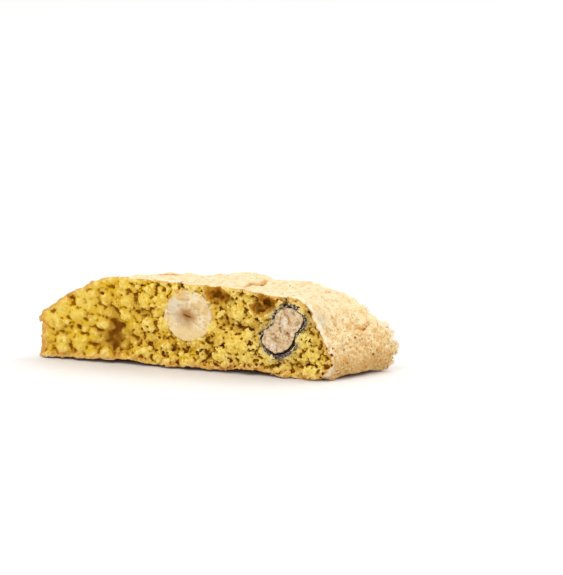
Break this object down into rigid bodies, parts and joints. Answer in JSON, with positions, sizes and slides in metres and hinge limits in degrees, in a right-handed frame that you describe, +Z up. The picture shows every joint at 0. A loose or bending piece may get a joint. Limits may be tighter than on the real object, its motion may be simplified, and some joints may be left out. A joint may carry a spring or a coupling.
{
  "type": "biscotti",
  "caption": "Slanted slice of a domed twice-baked log, with tan crust round a coarse yellow crumb and whole hazelnuts showing in both cut faces.",
  "frame": {"origin": "middle of the slice's bounding box, on the surface that it stands on", "axes": "+X along the cut faces towards the rounded right foot, +Y from the shown cut face to the hidden one, +Z up to the dome of the crust"},
  "size_m": [0.0955, 0.0184, 0.0239],
  "materials": {
    "baked_dough": "dry, matte, coarse open crumb in yellow, with a pale tan crust that is smoother and faintly satin",
    "nut_kernel": "matte cream-beige cut hazelnut with fine fibres",
    "nut_skin": "thin wrinkled dark brown hazelnut skin, dull"
  },
  "bodies": {
    "root": {"biscuit": "baked_dough", "hazelnut_front_left": "nut_kernel", "hazelnut_front_right": "nut_kernel", "hazelnut_front_right_skin": "nut_skin", "hazelnut_back_left": "nut_kernel", "hazelnut_back_right": "nut_kernel"}
  },
  "joints": []
}
